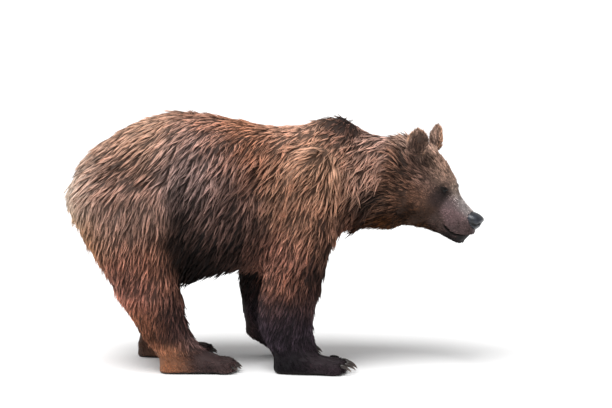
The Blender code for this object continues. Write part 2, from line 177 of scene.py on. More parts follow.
# -------------------- the parts of the bear
NODES = list(frame["nodes"])
CLAWS = [name for name in NODES if name.startswith("claw_")]
EYES = ["eye_right", "eye_left"]
FLESH = [name for name in NODES if name not in CLAWS + EYES + ["nose"]]
PAWS = ["forepaw_right", "forepaw_left", "hindpaw_right", "hindpaw_left"]

# Depth of the coat, and which way it lies: backwards, sideways and up are in the bear's own axes
COAT = {
    "rump": (0.042, (-0.70, 0.0, -0.70)),
    "belly": (0.038, (-0.45, 0.0, -0.85)),
    "chest": (0.040, (-0.50, 0.0, -0.85)),
    "neck": (0.042, (-0.40, 0.0, -0.80)),
    "tail": (0.030, (-0.30, 0.0, -1.00)),
    "head": (0.016, (-0.80, 0.0, -0.25)),
    "jaw": (0.006, (-0.80, 0.0, -0.30)),
    "ear": (0.004, (-0.10, 0.0, 1.00)),
    "thigh": (0.034, (-0.25, 0.0, -1.00)),
    "upper_foreleg": (0.030, (-0.38, 0.0, -0.92)),
    "forearm": (0.018, (-0.30, 0.0, -1.00)),
    "shank": (0.020, (-0.20, 0.0, -1.00)),
    "forepaw": (0.008, (0.80, 0.0, -0.60)),
    "hindpaw": (0.009, (0.80, 0.0, -0.60)),
}
KINDS = list(COAT)


def kind_of(name):
    return next(i for i, kind in enumerate(KINDS) if name.startswith(kind))


def among(kinds, *names):
    """Whether each of the kinds is one of those named."""
    return np.isin(kinds, [kind_of(name) for name in names])


class HeadFrame:
    """Places on the head: how far forward, how far to its left and how high, from between the ears."""

    def __init__(self):
        right, left, nose = (box_middle(n) for n in ("eye_right", "eye_left", "nose"))
        across = unit(left - right)
        between = (right + left) / 2
        slope = nose - between
        forward = unit(slope - across * slope.dot(across))
        up = np.cross(forward, across)
        tilt = math.radians(BROW_SLOPE)
        self.axes = np.array([
            forward * math.cos(tilt) + up * math.sin(tilt),
            across,
            up * math.cos(tilt) - forward * math.sin(tilt),
        ])
        self.origin = between - self.axes.T @ BETWEEN_EYES

    def place(self, points):
        return (np.asarray(points) - self.origin) @ self.axes.T

    def world(self, points):
        return np.asarray(points) @ self.axes + self.origin


head = HeadFrame()


# -------------------- coat colours and painted light
# Where each colour of the coat, or of light and shade painted on it, is at its purest (along and up,
# in metres), how far it reaches, and the colour
MARKINGS_AND_PAINTED_LIGHT = {
    # the edges of the rump: pale coat, with a painted rim highlight over it
    "edge of rump": (-0.86, 0.77, 0.11, "F6E2D0"),
    "upper edge of rump": (-0.79, 0.86, 0.07, "E6CEBC"),
    "lower edge of rump": (-0.81, 0.63, 0.07, "DCBA96"),
    "pale rump": (-0.76, 0.90, 0.12, "AC8C7A"),
    "pale croup": (-0.55, 1.04, 0.16, "D8AC92"),
    "upper haunch": (-0.60, 0.84, 0.12, "967163"),
    "back": (-0.14, 1.03, 0.19, "B27A5C"),
    "loin": (-0.27, 0.88, 0.13, "BAA29E"),
    "haunch": (-0.61, 0.70, 0.13, "E2B8A6"),
    "flank": (-0.17, 0.69, 0.14, "8C6D64"),
    # from here to the groin: painted shade in the hollow in front of the thigh and under the body, over
    # dark fur on the low flank and the belly
    "top of hollow flank": (-0.340, 0.73, 0.050, "281B17"),
    "hollow flank": (-0.330, 0.62, 0.060, "150E0B"),
    "low flank": (-0.14, 0.54, 0.115, "241612"),
    "belly": (-0.18, 0.42, 0.12, "140B09"),
    "back of belly": (-0.27, 0.43, 0.08, "080504"),
    "groin": (-0.325, 0.51, 0.085, "0C0706"),
    "thigh": (-0.52, 0.50, 0.11, "A06E58"),
    "back of thigh": (-0.76, 0.56, 0.09, "C8936C"),
    "low thigh": (-0.56, 0.39, 0.10, "C48A7A"),
    "hock": (-0.56, 0.22, 0.09, "AA7054"),
    "front of shank": (-0.40, 0.24, 0.07, "4A3330"),
    "heel": (-0.41, 0.030, 0.065, "C98A66"),
    "hind toes": (-0.24, 0.05, 0.11, "5A4645"),
    # painted shade of the far hind leg, which stands in shade
    "far hock": (-0.57, 0.07, 0.085, "644A3E"),
    "withers": (0.10, 0.99, 0.10, "EAB69E"),
    "hump": (0.30, 1.03, 0.085, "281B1C"),
    "side of hump": (0.30, 0.97, 0.060, "7A564C"),
    "top of shoulder": (0.18, 0.88, 0.115, "F2BE9E"),
    "shoulder": (0.14, 0.71, 0.12, "C8967C"),
    "front of shoulder": (0.26, 0.62, 0.08, "845E4E"),
    "elbow": (0.03, 0.50, 0.09, "B88270"),
    "front of elbow": (0.225, 0.42, 0.060, "33221E"),
    "upper forearm": (0.07, 0.40, 0.06, "9C6A55"),
    "forearm": (0.08, 0.32, 0.08, "553E3C"),
    "wrist": (0.07, 0.19, 0.09, "40353E"),
    "heel of fore foot": (0.07, 0.04, 0.08, "19141A"),
    "fore foot": (0.24, 0.04, 0.09, "3E3238"),
    "nape": (0.46, 0.97, 0.08, "8A726B"),
    "neck": (0.41, 0.86, 0.090, "EEBEA8"),
    "dark of neck": (0.435, 0.725, 0.066, "1C120F"),
    "throat": (0.46, 0.60, 0.07, "331B0E"),
    "chest": (0.32, 0.50, 0.08, "36251F"),
}
# The same on the head: forward, aside and up in the head's own frame
HEAD_MARKINGS_AND_SHADE = {
    "crown": (0.06, 0.05, 0.20, 0.07, "957A6C"),
    "temple": (0.08, 0.12, 0.12, 0.05, "75594E"),
    "behind the eye": (0.14, 0.11, 0.09, 0.035, "7A6157"),
    "forehead": (0.16, 0.03, 0.17, 0.05, "927667"),
    "brow": (0.205, 0.055, 0.130, 0.018, "846A5E"),
    "stop": (0.24, 0.00, 0.125, 0.035, "A08A7C"),
    "inner corner": (0.238, 0.050, 0.108, 0.013, "4C3C38"),
    # dark skin round the eye, widened as painted shade under the brow
    "eye": (0.213, 0.078, 0.102, 0.025, "1A1312"),
    "under the eye": (0.195, 0.095, 0.068, 0.030, "3F302F"),
    "cheek": (0.135, 0.13, 0.035, 0.050, "84604E"),
    "low cheek": (0.17, 0.11, -0.045, 0.05, "432A1B"),
    "back of cheek": (0.03, 0.15, 0.02, 0.07, "7C5B4A"),
    "underside": (0.05, 0.05, -0.16, 0.06, "4E2E16"),
    "underside of jaw": (0.20, 0.02, -0.11, 0.05, "5C3E28"),
    "bridge": (0.30, 0.00, 0.105, 0.040, "AEA4A2"),
    "beside the bridge": (0.275, 0.055, 0.085, 0.025, "7E696A"),
    "muzzle": (0.305, 0.065, 0.040, 0.030, "846A6B"),
    "side of muzzle": (0.345, 0.050, 0.012, 0.025, "63504F"),
    "corner of mouth": (0.27, 0.075, -0.02, 0.025, "5E4A44"),
    "chin": (0.34, 0.03, -0.055, 0.030, "231A1A"),
}
# The line between the lips, from the corner of the mouth to the front: forward and up on the head
LIPS = np.array([
    (0.287, -0.010), (0.307, -0.017), (0.333, -0.021), (0.353, -0.016),
    (0.374, -0.005), (0.390, 0.003), (0.402, 0.012), (0.420, 0.014),
])


def blended(places, markings):
    total, colours = np.zeros(len(places)), np.zeros((len(places), 3))
    for *middle, reach, code in markings.values():
        near = np.exp(-((places - middle) ** 2).sum(1) / reach**2) + 1e-9
        total += near
        colours += near[:, None] * linear(code)
    return colours / total[:, None]


def markings(points, on_head):
    """The colour of the coat at each point, with its painted light and shade. on_head is 1 on the head
    and 0 off it.
    """
    body = blended(points[:, [0, 2]], MARKINGS_AND_PAINTED_LIGHT)
    place = head.place(points)
    place[:, 1] = np.abs(place[:, 1])
    face = blended(place, HEAD_MARKINGS_AND_SHADE)
    return body + (face - body) * on_head[:, None]


# -------------------- the skin
def flesh_surface():
    """The bear's outline as one smooth closed surface, from its parted solids."""
    bm = bmesh.new()
    for name in FLESH + EYES:
        part = welded(name)
        whole = bpy.data.meshes.new("part")
        part.to_mesh(whole)
        bm.from_mesh(whole)
        part.free()
        bpy.data.meshes.remove(whole)
    mesh = bpy.data.meshes.new("bear_skin")
    bm.to_mesh(mesh)
    bm.free()
    obj = shown(mesh, "bear_skin")
    remesh = obj.modifiers.new("One skin", "REMESH")
    remesh.mode = "VOXEL"
    remesh.voxel_size = SKIN_VOXEL
    return evaluated(obj)


def nearest_parts(points):
    """The index in KINDS of the part of the bear that is nearest to each point."""
    corners, owner = [], []
    for name in FLESH:
        mesh = bpy.data.objects[name].data
        places = array_of(mesh.vertices, "co", 3)
        mesh.calc_loop_triangles()
        triangles = array_of(mesh.loop_triangles, "vertices", 3, np.int32)
        corners.append(places[triangles])
        owner += [kind_of(name)] * len(triangles)
    corners = np.concatenate(corners).reshape(-1, 3)
    tree = BVHTree.FromPolygons(corners.tolist(), np.arange(len(corners)).reshape(-1, 3).tolist())
    return np.array([owner[tree.find_nearest(p)[2]] for p in points.tolist()])


class Surface:
    """A mesh as arrays: places and normals of its points, and which points are neighbours."""

    def __init__(self, obj):
        self.mesh = obj.data
        edges = array_of(self.mesh.edges, "vertices", 2, np.int32)
        self.a = np.concatenate([edges[:, 0], edges[:, 1]])
        self.b = np.concatenate([edges[:, 1], edges[:, 0]])
        self.count = len(self.mesh.vertices)
        self.degree = np.bincount(self.a, minlength=self.count)
        self.places = array_of(self.mesh.vertices, "co", 3).astype(float)
        self.normals = None
        self.measure()

    def measure(self):
        """Puts the places on the mesh and reads the normals they give."""
        self.mesh.vertices.foreach_set("co", self.places.astype(np.float32).ravel())
        self.mesh.update()
        self.normals = array_of(self.mesh.vertex_normals, "vector", 3).astype(float)

    def neighbours(self, values):
        columns = values.reshape(self.count, -1)
        mean = np.stack(
            [np.bincount(self.a, c[self.b], self.count) for c in columns.T], axis=1
        )
        return (mean / self.degree[:, None]).reshape(values.shape)

    def spread(self, values, rounds):
        """The values after each point has taken on its neighbours' that many times."""
        for _ in range(rounds):
            values = 0.5 * values + 0.5 * self.neighbours(values)
        return values

    def relax(self, rounds, amount):
        """Smooths the shape without shrinking it, by amount 0 to 1 at each point."""
        for _ in range(rounds):
            for pull in (0.55, -0.57):
                step = self.neighbours(self.places) - self.places
                self.places += pull * amount[:, None] * step
        self.measure()


def refined(obj, where):
    """Splits the faces whose middles are where it is wanted into four."""
    bm = bmesh.new()
    bm.from_mesh(obj.data)
    chosen = where(np.array([face.calc_center_median() for face in bm.faces]))
    bm.edges.index_update()
    bm.edges.ensure_lookup_table()
    numbers = {edge.index for face, wanted in zip(bm.faces, chosen) if wanted for edge in face.edges}
    edges = [bm.edges[number] for number in sorted(numbers)]
    bmesh.ops.subdivide_edges(bm, edges=edges, cuts=1, use_grid_fill=True)
    bm.to_mesh(obj.data)
    bm.free()


class Eye:
    """One eye on the head: where it is, which way it looks, and the axes of its slit."""

    def __init__(self, name, side):
        self.name = name
        self.middle = head.place(box_middle(name))
        self.along = unit(np.array([0.82, -side * 0.56, -0.16]))
        gaze = np.array([0.45, side * 0.85, 0.12])
        self.gaze = unit(gaze - self.along * gaze.dot(self.along))
        self.up = np.cross(self.gaze, self.along) * -side

    def spread(self, place):
        """Along the slit, across it, and out of the head, seen on the lids or beyond them."""
        offset = place - self.middle
        away = np.linalg.norm(offset, axis=-1, keepdims=True)
        offset = offset * np.maximum(1.0, LID_RADIUS / np.maximum(away, 1e-6))
        return offset @ self.along, offset @ self.up, offset @ self.gaze

    def off_slit(self, place):
        """0 in the middle of the slit, 1 at the rims of the lids, more beyond."""
        u, v, _ = self.spread(place)
        return np.abs(v) / EYE_SLIT[1] + (u / EYE_SLIT[0]) ** 2

    def in_front(self, place):
        """Whether each place is on the side that the eye looks to, and near an eye."""
        return (self.spread(place)[2] > -0.01) * (off_eyes(place) < 0.03)


eyes = [Eye("eye_right", -1), Eye("eye_left", 1)]


def off_eyes(place):
    return np.min([np.linalg.norm(place - eye.middle, axis=1) for eye in eyes], axis=0)


def below_lips(place):
    """How far each place is under the line of the lips. Less than 0 above it."""
    return np.interp(place[:, 0], LIPS[:, 0], LIPS[:, 1]) - place[:, 2]


def at_lips(place):
    near = np.abs(place[:, 1]) < 0.09
    return near * smooth_step(LIPS[0, 0] - 0.004, LIPS[0, 0] + 0.014, place[:, 0])


def near_toes(centres, reach):
    claws = np.array([box_middle(f"claw_{paw}_{n}") for paw in PAWS for n in range(1, 6)])
    return np.array([np.linalg.norm(claws - c, axis=1).min() < reach for c in centres])


def in_detail(centres):
    place = head.place(centres)
    return (place[:, 0] > 0.10) & (place[:, 2] > -0.12) | near_toes(centres, 0.11)


def in_fine_detail(centres):
    place = head.place(centres)
    muzzle = (place[:, 0] > 0.28) & (np.abs(below_lips(place)) < 0.03)
    return muzzle | (off_eyes(place) < 0.036) | near_toes(centres, 0.075)


def in_finest_detail(centres):
    place = head.place(centres)
    lips = (np.abs(below_lips(place)) < 0.008) & (at_lips(place) > 0.3)
    return lips | (off_eyes(place) < 0.022)


skin = flesh_surface()
surface = Surface(skin)
place = head.place(surface.places)
low_down = smooth_step(0.12, 0.06, surface.places[:, 2])
on_muzzle = smooth_step(0.20, 0.30, place[:, 0])
surface.relax(24, 1.0 - 0.45 * low_down - 0.45 * on_muzzle)
for where in (in_detail, in_fine_detail, in_finest_detail):
    refined(skin, where)
surface = Surface(skin)
part = nearest_parts(surface.places)
on_head = surface.spread(among(part, "head", "jaw", "ear").astype(float), 6)
fine = surface.spread(among(part, "ear", "jaw", "forepaw", "hindpaw").astype(float), 6)
surface.relax(12, 1.0 - 0.5 * np.clip(fine, 0, 1))

depth = np.array([COAT[KINDS[p]][0] for p in part])
place = head.place(surface.places)
face = smooth_step(0.04, 0.20, place[:, 0])
depth = np.where(among(part, "head"), 0.026 - 0.021 * face, depth)
depth = surface.spread(depth, 25)
depth *= smooth_step(-0.004, 0.030, surface.places[:, 2])
surface.places -= surface.normals * depth[:, None]
surface.places[:, 2] = np.maximum(surface.places[:, 2], 0.0005)
surface.measure()
surface.relax(6, 1.0 - 0.8 * np.clip(fine, 0, 1))


def shape_lips():
    """Parts the lips with a groove, sets the lower one back, and rolls the upper one out."""
    place = head.place(surface.places)
    below, near = below_lips(place), at_lips(place)
    out = -LIP_GROOVE * np.exp(-((below / 0.0035) ** 2))
    out += 0.0025 * np.exp(-(((below + 0.010) / 0.007) ** 2))
    moved = surface.normals * (out * near)[:, None]
    back = smooth_step(0.0, 0.004, below) * smooth_step(0.06, 0.03, below)
    back *= smooth_step(0.34, 0.395, place[:, 0])
    surface.places += moved - 0.008 * back[:, None] * head.axes[0]


def shape_lids():
    """Opens a slit over each eyeball and lays the lids round it."""
    place = head.place(surface.places)
    for eye in eyes:
        u, v, out = eye.spread(place)
        offset = place - eye.middle
        away = np.linalg.norm(offset, axis=1)
        aside = np.hypot(u, v * 1.25)
        near = smooth_step(0.028, 0.0145, aside) * (out > -0.002) * (away < 0.035)
        lid = away + near * np.maximum(LID_RADIUS - away, 0.0)
        under = EYE_RADIUS - 0.0035
        opened = smooth_step(1.35, 0.85, eye.off_slit(place)) * (out > 0)
        reach = lid + opened * (np.minimum(lid, under) - lid)
        place = eye.middle + offset * (reach / np.maximum(away, 1e-6))[:, None]
    surface.places = head.world(place)
    for _ in range(3):
        near = smooth_step(0.024, 0.018, off_eyes(head.place(surface.places)))[:, None]
        surface.places += 0.4 * near * (surface.neighbours(surface.places) - surface.places)


def between_toes():
    """1 in the furrows between the toes, 0 elsewhere."""
    furrow = np.zeros(surface.count)
    for paw in PAWS:
        claws = np.array([box_middle(f"claw_{paw}_{n}")[:2] for n in range(1, 6)])
        ahead = unit(claws.mean(0) - box_middle(paw)[:2])
        aside = np.array([-ahead[1], ahead[0]])
        offset = surface.places[:, :2] - claws.mean(0)
        rows = np.sort((claws - claws.mean(0)) @ aside)
        off_toe = np.abs((offset @ aside)[:, None] - rows).min(1)
        own = (np.abs(offset @ aside) < rows[-1]) & (surface.places[:, 2] < 0.10)
        reach = smooth_step(-0.085, -0.045, offset @ ahead)
        furrow = np.maximum(furrow, own * reach * smooth_step(0.0085, 0.0165, off_toe))
    return furrow


furrows = between_toes()
surface.places -= surface.normals * (TOE_FURROW * furrows)[:, None]
shape_lips()
shape_lids()
surface.measure()
place = head.place(surface.places)


# -------------------- the lie of the coat
def wandering(points, size, seed):
    """A smooth random vector at each point, that changes over that size in metres."""
    shift = Vector((seed * 7.3, seed * 3.1, seed * 5.7))
    return np.array([noise.noise_vector(Vector(p) / size + shift) for p in points.tolist()])


def lie_of_coat():
    """Which way the coat lies at each point of the skin, and how it wanders."""
    lie = np.array([COAT[KINDS[p]][1] for p in part])
    lie = unit(lie)
    from_nose = unit(surface.places - head.world(NOSE_TIP))
    facial = unit(from_nose + np.array([0, 0, -0.15]))
    lie = np.where(among(part, "head", "jaw")[:, None], facial, lie)
    lie = surface.spread(lie, 30)
    lie -= surface.normals * (lie * surface.normals).sum(1, keepdims=True)
    return unit(surface.spread(unit(lie), 8))


lie = lie_of_coat()


def coat_colour(points, on_head, kinds):
    """The coat's colour, with its painted light and shade, pale rims to the ears and painted shade in
    their hollows.
    """
    colour = markings(points, on_head)
    for name, side in (("ear_right", -1), ("ear_left", 1)):
        offset = head.place(points) - head.place(box_middle(name))
        own = among(kinds, "ear") * (np.linalg.norm(offset, axis=1) < 0.10)
        opening = np.array([0.72, side * 0.69, 0.0])
        ahead = offset @ opening
        from_middle = np.linalg.norm(offset - ahead[:, None] * opening, axis=1)
        hollow = own * smooth_step(0.044, 0.026, from_middle) * smooth_step(-0.004, 0.006, ahead)
        rim = own * smooth_step(0.042, 0.054, from_middle) * smooth_step(-0.05, -0.015, offset[:, 2])
        # painted shade in the hollows of the ears
        colour += (linear("574238") - colour) * hollow[:, None]
        colour += (linear("C09478") - colour) * rim[:, None]
    return colour


def on_soles():
    return smooth_step(-0.4, -0.8, surface.normals[:, 2]) * (surface.places[:, 2] < 0.012)


def bare_colour():
    """The skin's colour: its coat's, with painted shade under the coat and between the toes, black at
    the lips and the rims of the lids, grey at the soles.
    """
    colour = coat_colour(surface.places, on_head, part)
    # painted shade under the coat, deeper where the coat is deeper
    colour *= 0.85 - 0.60 * smooth_step(0.006, 0.024, depth)[:, None]
    # painted shade in the furrows between the toes; the ears are darker too
    colour *= 1 - 0.5 * np.maximum(furrows, 0.4 * among(part, "ear"))[:, None]
    below, near = below_lips(place), at_lips(place)
    line = near * smooth_step(0.0075, 0.0035, np.abs(below - 0.0015))
    lower = smooth_step(0.35, 0.37, place[:, 0]) * smooth_step(-0.002, 0.001, below)
    lower *= smooth_step(0.030, 0.020, below)
    rims = np.zeros(len(place))
    for eye in eyes:
        rims = np.maximum(rims, smooth_step(2.3, 1.5, eye.off_slit(place)) * eye.in_front(place))
    soles = on_soles()
    lips = np.maximum(line, lower * near)
    for amount, code in ((lips, "17110F"), (rims, "120D0C"), (soles, "2A2523")):
        colour += (linear(code) - colour) * amount[:, None]
    return colour


write(skin.data, "marking", "FLOAT_COLOR", np.column_stack([bare_colour(), np.ones(surface.count)]))


# -------------------- locks
def lock(name, rings, bend, sway, curl):
    """One closed tapered lock, one long, with its own flat map."""
    steps = np.linspace(0.0, 1.0, rings + 1)[:-1]
    points, along, across = [], [], []
    for t in steps:
        half = 0.5 * (0.55 + 0.45 * min(1.0, t * 3.5)) * (1 - t**1.6) ** 0.8 if rings > 1 else 0.5
        side = sway * math.sin(curl * t * math.pi) * t**0.5
        lift = -bend * t * t
        for k in range(3):
            turn = 2 * math.pi * k / 3 + math.pi / 2
            points.append((t, side + half * math.cos(turn), lift + 0.055 * half * 2 * math.sin(turn)))
            along.append(t)
            across.append(math.cos(turn))
    across.append(0.0)
    points.append((1.0, sway * math.sin(curl * math.pi), -bend))
    along.append(1.0)
    faces, spots = [(2, 1, 0)], [[(1, 0), (0.5, 0.06), (0, 0)]]
    for r in range(rings - 1):
        low, high = steps[r], steps[r + 1]
        for k in range(3):
            n = (k + 1) % 3
            faces.append((3 * r + k, 3 * r + n, 3 * r + 3 + n, 3 * r + 3 + k))
            left, right = k / 3, (k + 1) / 3
            spots.append([(left, low), (right, low), (right, high), (left, high)])
    tip = 3 * rings
    for k in range(3):
        faces.append((tip - 3 + k, tip - 3 + (k + 1) % 3, tip))
        spots.append([(k / 3, steps[-1]), ((k + 1) / 3, steps[-1]), ((k + 0.5) / 3, 1.0)])
    mesh = bpy.data.meshes.new(name)
    mesh.from_pydata(points, [], faces)
    mesh.uv_layers.new(name="OFBake").data.foreach_set(
        "uv", np.array([c for face in spots for c in face], np.float32).ravel()
    )
    write(mesh, "along", "FLOAT", along)
    write(mesh, "across", "FLOAT", across)
    face_outward(mesh)
    return bpy.data.objects.new(name, mesh)


def lock_family(name, rings, count, bend, sway):
    """A collection of locks that differ in bend and sway."""
    family = bpy.data.collections.new(name)
    for i in range(count):
        share = i / (count - 1)
        family.objects.link(
            lock(
                f"{name}_{i}",
                rings,
                bend * (0.5 + share),
                sway * (-1) ** i * (0.4 + 0.6 * share),
                1.0 + share,
            )
        )
    return family


def planting_tree():
    """Puts a lock on each point, turned and sized by the point, and gives it its place on the map."""
    tree = bpy.data.node_groups.new("Plant locks", "GeometryNodeTree")
    for name, kind in (
        ("Roots", "Geometry"),
        ("Locks", "Collection"),
        ("Kinds of lock", "Int"),
        ("Patch", "Float"),
        ("Hair", "Material"),
    ):
        tree.interface.new_socket(name, in_out="INPUT", socket_type="NodeSocket" + kind)
    tree.interface.new_socket("Coat", in_out="OUTPUT", socket_type="NodeSocketGeometry")
    given = tree.nodes.new("NodeGroupInput").outputs

    def named(kind, name):
        node = add(tree, "GeometryNodeInputNamedAttribute", {"Name": name}, data_type=kind)
        return node.outputs["Attribute"]

    locks = add(
        tree,
        "GeometryNodeCollectionInfo",
        {"Collection": given["Locks"], "Separate Children": True, "Reset Children": True},
    )
    pick = add(tree, "FunctionNodeRandomValue", {"Min": 0, "Seed": 5}, data_type="INT")
    last = add(tree, "ShaderNodeMath", {0: given["Kinds of lock"], 1: 1.0}, operation="SUBTRACT")
    tree.links.new(last.outputs[0], pick.inputs[5])
    turn = add(tree, "FunctionNodeEulerToRotation", {"Euler": named("FLOAT_VECTOR", "turn")})
    planted = add(
        tree,
        "GeometryNodeInstanceOnPoints",
        {
            "Points": given["Roots"],
            "Instance": locks.outputs[0],
            "Pick Instance": True,
            "Instance Index": pick.outputs[2],
            "Rotation": turn.outputs[0],
            "Scale": named("FLOAT_VECTOR", "size"),
        },
    )
    real = add(tree, "GeometryNodeRealizeInstances", {0: planted.outputs[0]})
    spot = scaled(tree, named("FLOAT_VECTOR", "OFBake"), given["Patch"])
    spot = add(tree, "ShaderNodeVectorMath", {0: spot, 1: named("FLOAT_VECTOR", "place")})
    mapped = add(
        tree,
        "GeometryNodeStoreNamedAttribute",
        {"Geometry": real.outputs[0], "Name": "OFBake", "Value": spot.outputs[0]},
        data_type="FLOAT2",
        domain="CORNER",
    )
    finished = {"Geometry": mapped.outputs[0], "Material": given["Hair"]}
    done = add(tree, "GeometryNodeSetMaterial", finished)
    out = tree.nodes.new("NodeGroupOutput")
    tree.links.new(done.outputs[0], out.inputs[0])
    return tree


def planted(name, tree, roots, family, material):
    """The locks of one piece of coat, as a plain mesh. roots holds arrays, one row a lock."""
    mesh = bpy.data.meshes.new(name)
    mesh.from_pydata(roots["at"].tolist(), [], [])
    for key in ("turn", "size", "place"):
        write(mesh, key, "FLOAT_VECTOR", roots[key])
    write(mesh, "tint", "FLOAT_COLOR", roots["tint"])
    obj = shown(mesh, name)
    modifier = obj.modifiers.new("Coat", "NODES")
    modifier.node_group = tree
    inputs = (item for item in tree.interface.items_tree if item.in_out == "INPUT")
    sockets = {item.name: item.identifier for item in inputs}
    modifier[sockets["Locks"]] = family
    modifier[sockets["Kinds of lock"]] = len(family.objects)
    modifier[sockets["Patch"]] = COAT_PATCH
    modifier[sockets["Hair"]] = material
    evaluated(obj)
    for key in ("turn", "size", "place"):
        if key in obj.data.attributes:
            obj.data.attributes.remove(obj.data.attributes[key])
    return obj


# -------------------- roots
surface.mesh.calc_loop_triangles()
triangles = array_of(surface.mesh.loop_triangles, "vertices", 3, np.int32)


def cells(at, gap, room=1.0):
    """A number for the cube that each place is in, of a grid as wide as the gap at that place."""
    cube = np.floor(at / gap[:, None] / room).astype(np.int64)
    return cube @ np.array([73856093, 19349663, 83492791])  # large primes keep the cubes apart


def scattered(spacing, seed):
    """Even places on the skin, about that far apart: numbers of triangles and shares of corners."""
    corners = surface.places[triangles]
    sides = corners[:, 1] - corners[:, 0], corners[:, 2] - corners[:, 0]
    area = 0.5 * np.linalg.norm(np.cross(*sides), axis=1)
    gap = spacing[triangles].mean(1)
    chance = np.where(np.isfinite(gap), area / gap**2, 0.0)
    picker = np.random.default_rng(seed)
    picked = picker.choice(len(area), int(chance.sum() * 3.0), p=chance / chance.sum())
    r1, r2 = np.sqrt(picker.random(len(picked))), picker.random(len(picked))
    shares = np.stack([1 - r1, r1 * (1 - r2), r1 * r2], axis=1)
    at = (corners[picked] * shares[:, :, None]).sum(1)
    scale = np.round(np.log(gap[picked]) * 6).astype(np.int64)
    key = cells(at, gap[picked], 0.93) + scale * 2654435761
    _, first = np.unique(key, return_index=True)
    return picked[first], shares[first]


def at_roots(values, picked, shares):
    """Values of the skin's points, read at the roots."""
    found = values[triangles[picked]]
    return (found * shares.reshape(shares.shape + (1,) * (found.ndim - 2))).sum(1)


def chart(points, kinds):
    """Where each point is on a flat map of the skin: trunk, head, limbs and ears, round and along."""
    x, y, z = points.T
    place = head.place(points)
    result = np.zeros((len(points), 3))

    def put(which, round_by, along, corner, size):
        result[which, 0] = corner[0] + size[0] * np.clip(round_by[which], 0, 1)
        result[which, 1] = corner[1] + size[1] * np.clip(along[which], 0, 1)

    def turned(a, b):
        return np.arctan2(a, b) / (2 * math.pi) + 0.5

    limb = among(kinds, "thigh", "shank", "hindpaw", "upper_foreleg", "forearm", "forepaw")
    fore = x > -0.2
    put(~limb, (x + 0.88) / 1.5, turned(y, 0.72 - z), (0.005, 0.50), (0.985, 0.49))
    on_face = among(kinds, "head", "jaw")
    forward = (place[:, 0] + 0.15) / 0.56
    put(on_face, forward, turned(place[:, 1], -place[:, 2]), (0.005, 0.255), (0.45, 0.235))
    ear = among(kinds, "ear")
    put(ear, (place[:, 1] + 0.2) / 0.4, (place[:, 2]) / 0.3, (0.47, 0.255), (0.2, 0.235))
    for number, (front, side) in enumerate(((True, -1), (True, 1), (False, -1), (False, 1))):
        own = limb & (fore == front) & (y * side > 0)
        if own.any():
            middle = points[own].mean(0)
            round_limb = turned(x - middle[0], y - middle[1])
            put(own, round_limb, z / 0.82, (0.005 + 0.25 * number, 0.005), (0.235, 0.24))
    return result


def clumps(at, gap, seed):
    """The number of the root that each root's clump is gathered round. gap is the size of a clump."""
    key = cells(at, gap) + np.round(np.log(gap) * 4).astype(np.int64)
    order = np.random.default_rng(seed).permutation(len(at))
    _, first = np.unique(key[order], return_index=True)
    leaders = order[first]
    tree = KDTree(len(leaders))
    for leader in leaders:
        tree.insert(at[leader], int(leader))
    tree.balance()
    return np.array([tree.find(p)[1] for p in at.tolist()])


# Length of the coat's hair along the skin, from its depth; the ears and the jaw have a fringe
SHORTEST, LONGEST = 0.0105, 0.085
PAW_HAIR, FRINGE = 0.0115, 0.018
length = np.clip(depth * 1.95, SHORTEST, LONGEST)
length = np.where(among(part, "ear"), FRINGE, length)
length = np.where(among(part, "forepaw", "hindpaw"), np.maximum(length, PAW_HAIR), length)
length = np.where(among(part, "jaw") & (at_lips(place) < 0.01), FRINGE, length)
length = surface.spread(length, 4)
width = 0.0015 + 0.046 * length

# Degrees that the hair stands off the skin, and what is added or taken off where it lies otherwise
STANDS = 15
FLATTER_RUMP, FLATTER_OUTLINE = 6, 7
STEEPER_EARS, STEEPER_CREST, STEEPER_UNDERNEATH = 4, 38, 13
CREST_AT, HUMP_AT = 0.312, 0.30  # how far forward the tuft on the hump and the hump are
LIGHTEST_HAIR = 0.82  # in the strongest of red, green and blue


def bare():
    """1 where no hair grows: lips, lids, nose and soles."""
    lips = at_lips(place) * smooth_step(0.0050, 0.0030, np.abs(below_lips(place) - 0.0015))
    front = smooth_step(0.365, 0.375, place[:, 0]) * smooth_step(-0.002, 0.001, below_lips(place))
    front *= smooth_step(0.030, 0.024, below_lips(place))
    nose = np.linalg.norm((place - [0.385, 0.0, 0.062]) / [0.040, 0.046, 0.034], axis=1)
    lids = np.zeros(len(place))
    for eye in eyes:
        lids = np.maximum(lids, smooth_step(2.1, 1.7, eye.off_slit(place)) * eye.in_front(place))
    return np.max([lips, front, smooth_step(1.05, 0.9, nose), lids, on_soles()], axis=0)


bareness = bare()


